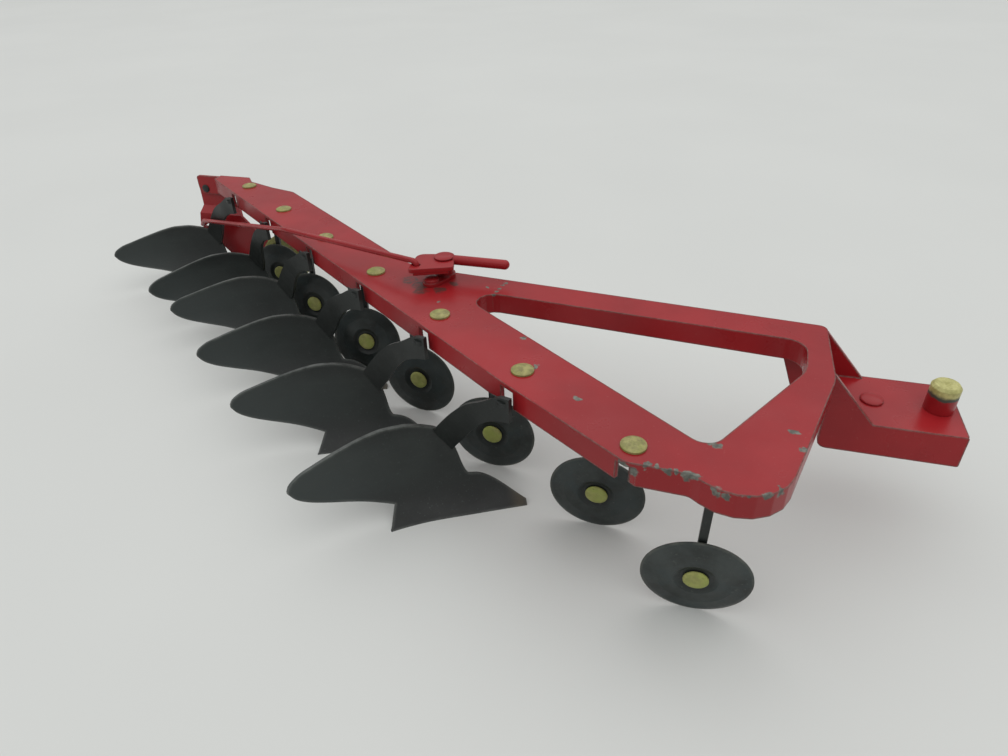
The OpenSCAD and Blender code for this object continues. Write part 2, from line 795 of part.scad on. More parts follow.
module tail_pivot() {
    color(steel) place()
        translate([tail_pivot_x, tail_face - sheet, tail_pivot_z])
            rotate([90, 0, 0])
                rivet(2, 0.9, tail_pin_r, sheet + 2 * arm_gap + tail_t, 1.9, 0.8);
}

module tail_axle() {
    color(zinc) place()
        translate([axle_x, wheel_face - wheel_w - 0.3, wheel_r])
            rotate([90, 0, 0])
                rivet(2.7, 1, axle_r, wheel_w + 0.8 + tail_t, 2.4, 0.8);
}

// Pressed wheel: hub, thin web and a rim with rounded edges
module tail_wheel() {
    half = wheel_w / 2;
    rim = wheel_r - 2.6;
    color(zinc) place()
        translate([axle_x, wheel_face - half, wheel_r])
            rotate([90, 0, 0])
                rotate_extrude()
                    polygon([
                        [axle_r + fit, -half], [3.6, -half], [4.2, -0.6], [rim - 0.6, -0.6],
                        [rim, -half], [wheel_r - 0.8, -half], [wheel_r, -half + 0.8],
                        [wheel_r, half - 0.8], [wheel_r - 0.8, half], [rim, half],
                        [rim - 0.6, 0.6], [4.2, 0.6], [3.6, half], [axle_r + fit, half]
                    ]);
}

// Rod, which rises over the crest of the last bottom before its hook in the tail arm.
// Columns: x, y and z of the wire's corners, bend radius
rod_top = lever_z + lever_t + rod_r + 0.3;
hole_xy = [lever_x, lever_y] + rod_hole;
rod_y = arm_face - arm_step - 2.8;
over_beam = on_line(4 * rivet_pitch + 9, near_tail + 3.4);
ROD_ROWS = [
    [hole_xy[0], hole_xy[1], lever_z - 1.9, 0],
    [hole_xy[0], hole_xy[1], rod_top, 1.8],
    [over_beam[0], over_beam[1], top_z + 4, 20],
    [rod_pin[0] + 4.5, rod_y - 3, rod_pin[1] + 3.9, 3],
    [rod_pin[0], rod_y, rod_pin[1], 2],
    [rod_pin[0], arm_face - arm_step + tail_t + 1.2, rod_pin[1], 0]
];

// Corner b of a wire between a and c, as points on a curve that touches both sides
function bend(a, b, c, r, steps) =
    let (u = unit(a - b), v = unit(c - b), reach = r / tan(acos(u * v) / 2))
    [for (i = [0:steps]) let (t = i / steps)
        b + u * reach * pow(1 - t, 2) + v * reach * pow(t, 2)];

function wire_path(rows, steps = 5) =
    let (n = len(rows), p = [for (row = rows) [row[0], row[1], row[2]]])
    concat([p[0]], [for (i = [1:n - 2]) each bend(p[i - 1], p[i], p[i + 1], rows[i][3], steps)], [p[n - 1]]);

// A side direction for each ring, carried along the path without turning about it
function carry(tangents, side, i = 0) =
    i >= len(tangents) ? [] :
    let (s = unit(side - (side * tangents[i]) * tangents[i]))
    concat([s], carry(tangents, s, i + 1));

// Round wire of radius r along a path, as one closed mesh
module wire(path, r, sides = 10) {
    n = len(path);
    tangents = [for (i = [0:n - 1]) unit(path[min(n - 1, i + 1)] - path[max(0, i - 1)])];
    side = carry(tangents, [1, 0, 0]);
    points = [for (i = [0:n - 1]) for (k = [0:sides - 1])
        let (a = 360 * k / sides)
        path[i] + r * (cos(a) * side[i] + sin(a) * cross(tangents[i], side[i]))];
    walls = [for (i = [0:n - 2]) for (k = [0:sides - 1])
        let (j = (k + 1) % sides)
        [i * sides + k, (i + 1) * sides + k, (i + 1) * sides + j, i * sides + j]];
    polyhedron(points, concat(
        [[for (k = [0:sides - 1]) k]],
        walls,
        [[for (k = [sides - 1:-1:0]) (n - 1) * sides + k]]
    ));
}

module rod() {
    color(paint) place() wire(wire_path(ROD_ROWS), rod_r);
}

frame();
hitch_box();
hitch_peg();
hitch_rivet();
for (i = [0:LAST]) {
    frame_rivet(i);
    coulter_arm(i);
    coulter_disc(i);
    coulter_pin(i);
}
for (i = [0:LAST - 1])
    bottom(i);
lever_post();
lever();
lever_rivet();
rod();
tail_arm();
tail_pivot();
tail_axle();
tail_wheel();
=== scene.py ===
"""Toy moldboard plough: camera, floor, lamp and finishes, and the finer shapes of its sheets,
rivets and rod.

Everything is in metres, in the CAD's own frame: the foot of the hitch peg is the origin,
+X is the way the plough is pulled, +Y its left and +Z up. The floor lies 37.5 mm below.
"""
import json
import math

import bpy
import numpy as np
from mathutils import Matrix, Vector


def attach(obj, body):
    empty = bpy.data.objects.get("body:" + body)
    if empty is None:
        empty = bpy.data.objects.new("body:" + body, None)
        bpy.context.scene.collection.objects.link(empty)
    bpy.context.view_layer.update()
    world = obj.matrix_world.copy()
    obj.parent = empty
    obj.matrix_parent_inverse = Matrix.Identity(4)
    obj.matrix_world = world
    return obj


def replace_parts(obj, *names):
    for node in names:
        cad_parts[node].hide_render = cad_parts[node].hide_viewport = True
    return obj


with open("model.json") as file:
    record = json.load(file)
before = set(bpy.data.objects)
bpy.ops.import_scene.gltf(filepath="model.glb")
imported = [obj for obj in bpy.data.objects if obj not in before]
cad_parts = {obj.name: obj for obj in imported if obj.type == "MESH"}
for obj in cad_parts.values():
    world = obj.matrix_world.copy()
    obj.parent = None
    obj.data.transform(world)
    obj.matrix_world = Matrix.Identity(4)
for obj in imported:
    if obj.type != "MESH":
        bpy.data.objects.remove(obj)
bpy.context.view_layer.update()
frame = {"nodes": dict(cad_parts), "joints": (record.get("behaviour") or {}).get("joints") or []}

bl_info = {
    "name": "Toy moldboard plough",
    "version": (1, 0, 0),
    "blender": (4, 5, 0),
    "location": "View3D > Sidebar > Plough",
    "description": "Dresses the toy plough: stage, enamel, blackened steel and zinc finishes",
    "category": "Object",
}

MM = 0.001
FLOOR_Z = -37.5 * MM


class StageSizes(bpy.types.PropertyGroup):
    """Camera, floor and light"""
    lens: bpy.props.FloatProperty(
        name="Lens", description="Focal length on a 36 mm sensor, in millimetres", default=24.857)
    pitch: bpy.props.FloatProperty(
        name="Pitch", description="How far the camera looks down", default=math.radians(33.71),
        subtype="ANGLE")
    yaw: bpy.props.FloatProperty(
        name="Yaw", description="Turn of the view from +Y towards -X", default=math.radians(17.51),
        subtype="ANGLE")
    roll: bpy.props.FloatProperty(
        name="Roll", description="Turn of the camera about its own axis", default=math.radians(1.97),
        subtype="ANGLE")
    place: bpy.props.FloatVectorProperty(
        name="Place", description="Where the camera stands", default=(-0.07145, -0.19115, 0.1232),
        unit="LENGTH")
    floor: bpy.props.FloatVectorProperty(
        name="Floor", description="Colour of the pale floor", default=(0.64, 0.655, 0.635), subtype="COLOR")
    sky: bpy.props.FloatProperty(
        name="Sky", description="Strength of the even light from all round", default=0.33)
    lamp: bpy.props.FloatProperty(
        name="Lamp", description="Power of the wide soft lamp high above", default=236.0, unit="POWER")


class FinishColours(bpy.types.PropertyGroup):
    """Colours of the finishes"""
    enamel: bpy.props.FloatVectorProperty(
        name="Enamel", description="Red enamel", default=(0.3, 0.0115, 0.015), subtype="COLOR")
    bare: bpy.props.FloatVectorProperty(
        name="Bare metal", description="Grey metal under chipped enamel", default=(0.15, 0.152, 0.13),
        subtype="COLOR")
    steel: bpy.props.FloatVectorProperty(
        name="Blackened steel", description="Discs, arms and bottoms", default=(0.0145, 0.0185, 0.0168),
        subtype="COLOR")
    zinc: bpy.props.FloatVectorProperty(
        name="Zinc", description="Yellow-passivated rivets and wheel", default=(0.46, 0.43, 0.17),
        subtype="COLOR")


# Materials

class Shader:
    """A material's node tree, written as short calls that return sockets"""

    def __init__(self, name, round_off=0.0):
        self.material = bpy.data.materials.new(name)
        self.material.use_nodes = True
        self.tree = self.material.node_tree
        self.bsdf = self.tree.nodes["Principled BSDF"]
        self.place = self.tree.nodes.new("ShaderNodeTexCoord").outputs["Object"]
        self.soft = None
        if round_off:
            self.soft = self.node("ShaderNodeBevel", {"Radius": round_off}, samples=4).outputs[0]

    def node(self, kind, inputs=(), **settings):
        """A node of this kind, with its settings, and its inputs by name or number"""
        n = self.tree.nodes.new(kind)
        for key, value in settings.items():
            setattr(n, key, value)
        for key, value in dict(inputs).items():
            self.feed(n.inputs[key], value)
        return n

    def feed(self, socket, value):
        """Links a socket to an input, or sets the input's own value"""
        if isinstance(value, bpy.types.NodeSocket):
            self.tree.links.new(value, socket)
        elif isinstance(value, (tuple, list)) and len(value) == 3 and socket.type == "RGBA":
            socket.default_value = (*value, 1)
        else:
            socket.default_value = value

    def set(self, **values):
        """Values or sockets for the shader's inputs, with _ for a space"""
        for key, value in values.items():
            self.feed(self.bsdf.inputs[key.replace("_", " ")], value)

    def vector(self, kind, a, b=(0, 0, 0), out=0):
        """A vector sum, product or the like; out picks its result"""
        return self.node("ShaderNodeVectorMath", {0: a, 1: b}, operation=kind).outputs[out]

    def noise(self, scale, detail=3, rough=0.55, at=None, shift=0.0):
        """Noise from 0 to 1 whose features are about 1 / scale metres wide"""
        at = at or self.place
        if shift:
            at = self.vector("ADD", at, (shift, shift * 0.7, -shift))
        return self.node("ShaderNodeTexNoise", {
            "Vector": at, "Scale": scale, "Detail": detail, "Roughness": rough}).outputs["Fac"]

    def math(self, kind, a, b=0.0, clamp=False):
        return self.node("ShaderNodeMath", {0: a, 1: b}, operation=kind, use_clamp=clamp).outputs[0]

    def band(self, value, low, high, out=(0.0, 1.0)):
        """Value from low to high spread smoothly over out"""
        return self.node("ShaderNodeMapRange", {
            "Value": value, "From Min": low, "From Max": high, "To Min": out[0], "To Max": out[1]},
            interpolation_type="SMOOTHSTEP").outputs[0]

    def mix(self, factor, a, b):
        """Colour a at factor 0, b at factor 1"""
        n = self.node("ShaderNodeMix", data_type="RGBA")
        self.feed(n.inputs[0], factor)
        self.feed(n.inputs[6], a)
        self.feed(n.inputs[7], b)
        return n.outputs[2]

    def edge(self, low, high):
        """1 on edges: where the rounded-off surface leaves the true surface's own direction"""
        own = self.node("ShaderNodeNewGeometry").outputs["Normal"]
        return self.band(self.vector("DOT_PRODUCT", self.soft, own, "Value"), low, high, (1.0, 0.0))

    def bump(self, height, strength, distance):
        """A surface direction bent by a height, on the rounded-off surface where there is one"""
        inputs = {"Strength": strength, "Distance": distance, "Height": height}
        if self.soft:
            inputs["Normal"] = self.soft
        return self.node("ShaderNodeBump", inputs).outputs[0]

    def ragged(self, size, scale):
        """The place, shifted by noise up to about half of size each way"""
        cloud = self.node("ShaderNodeTexNoise", {"Vector": self.place, "Scale": scale, "Detail": 4})
        centred = self.vector("SUBTRACT", cloud.outputs["Color"], (0.5, 0.5, 0.5))
        shift = self.vector("MULTIPLY", centred, (size, size, size))
        return self.vector("ADD", self.place, shift)

    def spots(self, rows, at):
        """1 near each row's place: x, y, z and reach in millimetres"""
        total = 0.0
        for x, y, z, reach in rows:
            away = self.vector("DISTANCE", at, (x * MM, y * MM, z * MM), "Value")
            spot = self.band(away, 0.75 * reach * MM, 1.05 * reach * MM, (1.0, 0.0))
            total = self.math("MAXIMUM", total, spot)
        return total


def shade(colour, factor):
    """A colour times a factor, each channel at most 1"""
    return tuple(min(1.0, c * factor) for c in colour)


# Chips on the frame, where the photograph shows grey metal. Columns: x, y, z, reach in mm
CHIPPED = (
    (-82.6, -64.3, 14.3, 1.5), (-80.2, -64.1, 12.8, 1.7), (-77.6, -63.9, 15.3, 1.1),
    (-75.2, -64.2, 15.4, 0.9), (-72.6, -64.4, 15.2, 1.1), (-70.2, -64.6, 15.4, 1.0),
    (-68.0, -64.9, 14.7, 1.6), (-66.6, -65.2, 15.4, 1.3), (-61.6, -68.2, 14.7, 1.3),
    (-59.2, -68.9, 14.1, 1.2), (-55.6, -69.2, 15.2, 0.9), (-50.6, -67.6, 15.3, 1.3),
    (-47.6, -65.6, 15.0, 1.5), (-63.4, -52.2, 15.5, 1.3), (-62.0, -53.1, 15.4, 1.2),
    (-44.0, -42.8, 15.5, 1.2), (-41.9, -49.4, 15.4, 1.3), (-40.9, -56.4, 15.3, 1.1),
    (-136.6, 20.6, 15.5, 0.8), (-137.1, 18.4, 15.5, 0.9), (-137.5, 15.8, 15.5, 0.8),
    (-137.8, 13.2, 15.5, 0.9), (-138.1, 10.8, 15.5, 0.8), (-141.8, 16.0, 15.5, 0.7),
    (-153.8, 1.6, 15.5, 0.8), (-120.3, -14.8, 15.4, 0.9), (-98.4, -41.7, 15.2, 1.1),
    (-112.6, -29.5, 15.4, 1.0))
# Painted shade: dark patches on the frame round the lever's post, where the lever shades it. Columns as above
SHADE_UNDER_LEVER = (
    (-170.5, 15.2, 15.5, 3.4), (-165.2, 11.4, 15.5, 3.2), (-163.2, 7.2, 15.5, 2.4), (-157.4, 10.2, 15.5, 2.8),
    (-154.2, 15.4, 15.5, 2.2), (-160.4, 27.4, 15.5, 2.6))


def enamel_finish(name, colours, chips=0.5, round_off=0.0009, chipped=(), shaded=()):
    """Glossy red enamel: cloudy shade, dust specks, worn edges, chips down to grey metal, and dark patches of
    painted shade. Chips are the share of the edges that is chipped; the last two arguments are rows of
    places, of chips and of painted shade."""
    s = Shader(name, round_off)
    red, bare = tuple(colours.enamel), tuple(colours.bare)
    cloud = s.band(s.noise(34, 4), 0.3, 0.7)
    colour = s.mix(cloud, shade(red, 0.88), shade(red, 1.1))
    dust = s.band(s.noise(1500, 2, shift=3.1), 0.66, 0.78, (0, 0.22))
    colour = s.mix(dust, colour, (0.4, 0.17, 0.15))
    # Painted shade: near-black patches round the lever's post, standing in for the shade the lever casts on
    # the frame
    if shaded:
        shade_patches = s.spots(shaded, s.ragged(0.005, 220))
        patch_weight = s.math("MULTIPLY", shade_patches, s.band(s.noise(420, 5, 0.7), 0.38, 0.56, (0.25, 1)))
        colour = s.mix(s.math("MULTIPLY", patch_weight, 0.8), colour, (0.045, 0.04, 0.032))
    stretch = s.band(s.noise(36, 2, shift=7.7), 0.34, 0.62, (0.3, 1.45))
    ragged = s.math("MULTIPLY", s.noise(230, 5, 0.7), stretch)
    chip = s.band(s.math("MULTIPLY", s.edge(0.76, 0.99), ragged), 0.5 - 0.3 * chips, 0.56 - 0.3 * chips)
    chip = s.math("MAXIMUM", chip, s.band(s.noise(150, 5, 0.75, shift=1.9), 0.735, 0.75))
    if chipped:
        chip = s.math("MAXIMUM", chip, s.spots(chipped, s.ragged(0.0042, 430)))
    broken = s.band(s.noise(120, 4, 0.7, shift=8.8), 0.32, 0.6, (0.1, 0.7))
    line = s.math("MULTIPLY", s.edge(0.8, 0.94), broken)
    colour = s.mix(line, colour, (0.13, 0.07, 0.065))
    metal = s.mix(s.band(s.noise(700, 4), 0.35, 0.65), shade(bare, 0.62), shade(bare, 1.35))
    gloss = s.band(s.noise(60, 4, shift=5.0), 0.3, 0.7, (0.26, 0.4))
    s.set(Base_Color=s.mix(chip, colour, metal), Specular_IOR_Level=0.28, Coat_Weight=0.07,
          Coat_Roughness=0.16, Roughness=s.math("ADD", gloss, s.math("MULTIPLY", chip, 0.25)))
    level = s.math("SUBTRACT", s.math("MULTIPLY", s.noise(420, 3, shift=2.0), 0.12), chip)
    s.set(Normal=s.bump(level, 0.35, 0.00012))
    return s.material


def peg_finish(name, colours):
    """The hitch peg: red foot, a ragged dark grey band, and bare pale yellow metal above it"""
    s = Shader(name, 0.0004)
    red = tuple(colours.enamel)
    height = s.node("ShaderNodeSeparateXYZ", {0: s.ragged(0.0022, 420)}).outputs["Z"]
    metal = s.mix(s.band(s.noise(620, 4, 0.7), 0.35, 0.65), (0.36, 0.345, 0.12), (0.52, 0.5, 0.2))
    upper = s.mix(s.band(height, 0.0056, 0.0068), (0.052, 0.062, 0.048), metal)
    lower = s.mix(s.band(s.noise(90, 4), 0.3, 0.7), shade(red, 0.8), shade(red, 1.1))
    s.set(Base_Color=s.mix(s.band(height, 0.0046, 0.0051), lower, upper), Specular_IOR_Level=0.4,
          Roughness=s.band(height, 0.0046, 0.0056, (0.3, 0.46)))
    s.set(Normal=s.bump(s.noise(700, 3, 0.6), 0.2, 0.0001))
    return s.material


def steel_finish(name, colours, factor=1.0, round_off=0.0004):
    """Blackened steel: cloudy satin grey-green, fine specks, edges rubbed lighter"""
    s = Shader(name, round_off)
    base = shade(tuple(colours.steel), factor)
    cloud = s.band(s.noise(55, 5, 0.6), 0.32, 0.68)
    colour = s.mix(cloud, shade(base, 0.72), shade(base, 1.35))
    specks = s.band(s.noise(1300, 2, shift=4.2), 0.62, 0.76, (0, 0.5))
    colour = s.mix(specks, colour, shade(base, 3.2))
    rub = s.math("MULTIPLY", s.edge(0.7, 0.99), s.band(s.noise(170, 4, 0.7), 0.4, 0.62))
    colour = s.mix(s.math("MULTIPLY", rub, 0.6), colour, (0.13, 0.14, 0.125))
    s.set(Base_Color=colour, Specular_IOR_Level=0.42,
          Roughness=s.band(s.noise(85, 5, 0.65, shift=6.0), 0.3, 0.7, (0.38, 0.56)))
    s.set(Normal=s.bump(s.noise(700, 4, 0.6), 0.12, 0.00008))
    return s.material


def disc_finish(name, colours, centre, shift):
    """A blackened coulter disc: blue-green and grey-green clouds, a dark halo round its rivet,
    faint turning rings and a rim rubbed lighter, all from the distance to its centre"""
    s = Shader(name)
    base = shade(tuple(colours.steel), 1.25)
    away = s.vector("DISTANCE", s.place, tuple(centre), "Value")
    cloud = s.band(s.noise(62, 5, 0.62, shift=shift), 0.34, 0.66)
    colour = s.mix(cloud, shade(base, 0.8), shade((0.036, 0.044, 0.042), 1.2))
    tint = s.band(s.noise(120, 4, 0.6, shift=shift + 3.0), 0.46, 0.66, (0, 0.55))
    colour = s.mix(tint, colour, (0.03, 0.045, 0.047))
    halo = s.band(away, 0.0040, 0.0068, (0.72, 0.0))
    colour = s.mix(halo, colour, (0.011, 0.013, 0.012))
    specks = s.band(s.noise(1100, 3, shift=shift + 5.0), 0.62, 0.74, (0, 0.5))
    colour = s.mix(specks, colour, (0.085, 0.095, 0.082))
    broken = s.band(s.noise(210, 4, 0.7, shift=shift), 0.36, 0.62, (0.1, 1))
    rim = s.math("MULTIPLY", s.band(away, 0.0136, 0.0145), broken)
    colour = s.mix(s.math("MULTIPLY", rim, 0.6), colour, (0.12, 0.125, 0.105))
    rings = s.math("SINE", s.math("MULTIPLY", away, 9000.0))
    s.set(Base_Color=colour, Specular_IOR_Level=0.42,
          Roughness=s.band(s.noise(95, 5, 0.65, shift=6.0), 0.3, 0.7, (0.36, 0.54)))
    s.set(Normal=s.bump(s.math("ADD", s.noise(650, 4, 0.6), s.math("MULTIPLY", rings, 0.06)), 0.14, 0.00009))
    return s.material


def zinc_finish(name, colours, factor=1.0, round_off=0.0, green=0.55):
    """Dull yellow zinc: mottled olive and straw, greener by a share, with darker specks"""
    s = Shader(name, round_off)
    base = shade(tuple(colours.zinc), factor)
    cloud = s.band(s.noise(430, 5, 0.7), 0.36, 0.64)
    colour = s.mix(cloud, shade(base, 0.62), shade(base, 1.08))
    tint = s.band(s.noise(210, 3, shift=9.0), 0.42, 0.68, (green - 0.55, green))
    colour = s.mix(tint, colour, shade((0.37, 0.42, 0.1), factor))
    specks = s.band(s.noise(1500, 3, shift=2.5), 0.64, 0.72, (0, 0.6))
    colour = s.mix(specks, colour, shade((0.12, 0.11, 0.06), factor))
    s.set(Base_Color=colour, Metallic=0.12, Specular_IOR_Level=0.4,
          Roughness=s.band(s.noise(300, 4, shift=3.0), 0.3, 0.7, (0.46, 0.62)))
    s.set(Normal=s.bump(s.noise(900, 4, 0.7), 0.3, 0.0001))
    return s.material


def floor_finish(name, colour):
    """Plain pale floor with a faint unevenness"""
    s = Shader(name)
    tone = s.band(s.noise(5, 3), 0.3, 0.7)
    s.set(Base_Color=s.mix(tone, shade(colour, 0.985), shade(colour, 1.01)),
          Roughness=0.62, Specular_IOR_Level=0.25)
    return s.material


def dress(nodes, material):
    """Puts one material on every slot of these CAD nodes"""
    for name in nodes:
        data = frame["nodes"][name].data
        if not data.materials:
            data.materials.append(material)
        for i in range(len(data.materials)):
            data.materials[i] = material


# Bottoms

RAKE = math.radians(36.35)
BACK = np.array([-math.cos(RAKE), math.sin(RAKE)])
SIDE = np.array([-math.sin(RAKE), -math.cos(RAKE)])
# The peg's foot in the working frame, whose origin is on the floor under the first rivet, in mm
PEG = np.array([81.3, 57.95, 37.5])
# From rivet to rivet, and the heights of the frame's top face and of a tab's lower face, in mm
RIVET_PITCH = 43.0
FRAME_TOP = 53.0
TAB_LOW = 48.9
# Between the share and the way of travel, in degrees
SHARE_ANGLE = 27.0

# Columns: turn from the share angle in degrees, nose ahead and to the left of its rivet in mm
BOTTOMS = ((1.0, -0.2, 0.8), (-12.3, -3.1, -5.9), (-8.0, -3.6, 0.3),
           (-11.5, -3.8, 0.7), (2.9, 2.0, 4.9), (-5.7, -5.4, 0.3))

# Distances along the share of its nose, its heel and the wing's tip, and the height of its crease
NOSE, HEEL, TIP = -0.8, 41.2, 71.2
CREASE = 5.9

# Columns: distance along the share, height
TOP_EDGE = np.array((
    (NOSE, 1.6), (13.5, 10.1), (16.6, 10.5), (17.7, 12), (19.9, 18.7), (22.5, 23.2),
    (25.1, 26.3), (28, 27.5), (31, 28.4), (36.2, 29.3), (41.5, 29.4), (46.9, 28.7),
    (52.3, 27.5), (57.6, 26.2), (62.8, 24.9), (67, 23.9), (69.3, 22.8), (70.6, 21.8), (TIP, 20.6)))
WING_EDGE = np.array((
    (HEEL, CREASE), (49.8, 8.9), (59.8, 12.2), (65, 14.4), (68, 16.2), (69.8, 17.8), (TIP, 19.8)))
# Columns: part of the way to the sheet, height from the fold, of the arm's two edges
ARM_UPPER = np.array((
    (0, 1.6), (0.1, 1.1), (0.17, 0.1), (0.33, -3.2), (0.56, -7.6), (0.75, -13.6),
    (0.93, -20.6), (1.0, -23.4)))
ARM_LOWER = np.array((
    (0, -6.2), (0.12, -7.2), (0.31, -10.3), (0.48, -16), (0.63, -22.9), (0.72, -26.6), (0.79, -29.4)))


class BottomSizes(bpy.types.PropertyGroup):
    """Sizes of the plough bottoms, in millimetres where a size has no unit"""
    sheet: bpy.props.FloatProperty(name="Sheet", description="Thickness of the sheet", default=1.4)
    slope: bpy.props.FloatProperty(
        name="Slope", description="Slope of the share at its cutting edge", default=math.radians(48),
        subtype="ANGLE")
    upright: bpy.props.FloatProperty(
        name="Upright", description="Height at which the sheet stands upright", default=30.0)
    wing_start: bpy.props.FloatProperty(
        name="Wing start", description="Where the wing begins to curve", default=26.0)
    wing_radius: bpy.props.FloatProperty(
        name="Wing radius", description="Radius of the wing in plan", default=80.0)
    share: bpy.props.FloatProperty(
        name="Share", description="Length of the cutting edge", default=43.4)


def glide(x, table):
    """Cubic through the rows of a table: each piece leaves a row with the mean slope of its
    neighbours, or level where the slopes change sign, so that it never overshoots"""
    xs, ys = table[:, 0], table[:, 1]
    h, d = np.diff(xs), np.diff(ys) / np.diff(xs)
    product = d[:-1] * d[1:]
    inner = np.where(product > 0, 2 * product / (d[:-1] + d[1:] + 1e-12), 0)
    m = np.concatenate(([d[0]], inner, [d[-1]]))
    i = np.clip(np.searchsorted(xs, x) - 1, 0, len(h) - 1)
    t = np.clip((x - xs[i]) / h[i], 0, 1)
    return (ys[i] * (1 + 2 * t) * (1 - t) ** 2 + ys[i + 1] * t * t * (3 - 2 * t)
            + h[i] * (m[i] * t * (1 - t) ** 2 - m[i + 1] * t * t * (1 - t)))


def sheet_face(u, z, p):
    """The working face at distance u along the share and height z. In section it is an arc:
    x = c cos(slope) - sqrt(c^2 - (upright - z)^2), c = upright / sin(slope). Behind the wing's
    start it turns outwards in plan on a circle of the wing's radius."""
    c = p.upright / math.sin(p.slope)
    x = c * math.cos(p.slope) - np.sqrt(c * c - (p.upright - z) ** 2)
    past = np.maximum(0, u - p.wing_start)
    curved = p.wing_radius - np.sqrt((p.wing_radius - x) ** 2 - past ** 2)
    return np.stack((np.where(past > 0, curved, x), -u, z), -1)


def slope_of(points):
    """Unit normal of a grid of points: across its two directions of change"""
    along, across = np.gradient(points, axis=0), np.gradient(points, axis=1)
    n = np.cross(along, across)
    return n / np.linalg.norm(n, axis=-1, keepdims=True)


def closed_sheet(front, back, keep=None):
    """Vertices and faces of a sheet between two like grids of points: both faces, and a wall
    along every edge that only one cell of the front uses"""
    rows, cols = front.shape[:2]
    index = np.arange(rows * cols).reshape(rows, cols)
    cells = np.stack((index[:-1, :-1], index[1:, :-1], index[1:, 1:], index[:-1, 1:]), -1)
    cells = cells.reshape(-1, 4) if keep is None else cells[keep]
    edges = np.concatenate([cells[:, [i, (i + 1) % 4]] for i in range(4)])
    n = rows * cols
    code, other = edges[:, 0] * n + edges[:, 1], edges[:, 1] * n + edges[:, 0]
    rim = edges[~np.isin(code, other)]
    walls = np.stack((rim[:, 1], rim[:, 0], rim[:, 0] + n, rim[:, 1] + n), -1)
    faces = np.concatenate((cells, cells[:, ::-1] + n, walls))
    points = np.concatenate((front.reshape(-1, 3), back.reshape(-1, 3)))
    a, b, c, d = (points[faces[:, k]] for k in range(4))
    volume = (a * np.cross(b, c) + a * np.cross(c, d)).sum()
    return points, faces if volume > 0 else faces[:, ::-1], rim


def share_and_wing(p):
    """Stations across the sheet, each a row of points from the lower edge to the upper one:
    first those over the share, whose lower part leans out to the cutting edge, then the wing's"""
    low_rows, high_rows = 10, 34
    corners = TOP_EDGE[1:5, 0]
    u1 = np.unique(np.concatenate((np.linspace(NOSE, HEEL, 64), corners)))
    u2 = HEEL + (TIP - HEEL) * np.sin(np.linspace(0, 1, 56)[1:] * math.pi / 2)
    top1, top2 = glide(u1, TOP_EDGE), glide(u2, TOP_EDGE)
    middle = np.minimum(CREASE, 0.6 * top1)
    ends = NOSE + (u1 - NOSE) * (p.share - NOSE) / (HEEL - NOSE)
    a, b = np.linspace(0, 1, low_rows + 1)[:-1], np.linspace(0, 1, high_rows + 1)
    uz1 = np.concatenate((
        np.stack((ends[:, None] + (u1 - ends)[:, None] * a, middle[:, None] * a), -1),
        np.stack((np.repeat(u1[:, None], len(b), 1), middle[:, None] + (top1 - middle)[:, None] * b), -1)), 1)
    low2 = glide(u2, WING_EDGE)
    z2 = low2[:, None] + (top2 - low2)[:, None] * b
    z2 = np.concatenate((np.repeat(z2[:, :1], low_rows, 1), z2), 1)
    uz2 = np.stack((np.repeat(u2[:, None], z2.shape[1], 1), z2), -1)
    uz = np.concatenate((uz1, uz2))
    keep = np.ones((uz.shape[0] - 1, uz.shape[1] - 1), bool)
    keep[len(u1) - 1:, :low_rows] = False
    return uz, keep


def turned(points, angle):
    """Points turned about the Z axis"""
    c, s = math.cos(angle), math.sin(angle)
    x, y = points[..., 0], points[..., 1]
    return np.stack((c * x - s * y, s * x + c * y, points[..., 2]), -1)


def raised(xy, low, high):
    """Vertices and faces of a flat plate: an outline lifted from one height to another"""
    n = len(xy)
    ring = np.arange(n)
    v = np.concatenate((np.c_[xy, np.full(n, low)], np.c_[xy, np.full(n, high)]))
    walls = np.stack((ring, (ring + 1) % n, (ring + 1) % n + n, ring + n), -1)
    return v, [list(ring[::-1]), list(ring + n)] + walls.tolist()


def made(name, parts, body, material, rim=0.00025, marks=None):
    """One object from parts of (vertices in mm of the working frame, faces), with rubbed edges"""
    points, faces, start = [], [], 0
    for v, f in parts:
        points.append(v)
        faces += [[int(i) + start for i in face] for face in f]
        start += len(v)
    points = (np.concatenate(points) - PEG) * MM
    used, faces_flat = np.unique(np.concatenate([np.asarray(f) for f in faces]), return_inverse=True)
    sizes = np.cumsum([len(f) for f in faces])[:-1]
    faces = [f.tolist() for f in np.split(faces_flat, sizes)]
    mesh = bpy.data.meshes.new(name)
    mesh.from_pydata(points[used].tolist(), [], faces)
    for key, values in (marks or {}).items():
        layer = mesh.attributes.new(key, "FLOAT", "POINT")
        layer.data.foreach_set("value", np.asarray(values, np.float32)[used])
    mesh.shade_smooth()
    mesh.materials.append(material)
    mesh.update()
    o = bpy.data.objects.new(name, mesh)
    bpy.context.collection.objects.link(o)
    bevel = o.modifiers.new("rubbed edges", "BEVEL")
    bevel.width, bevel.segments, bevel.limit_method = rim, 3, "ANGLE"
    bevel.angle_limit, bevel.harden_normals = math.radians(50), True
    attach(o, body)
    return o


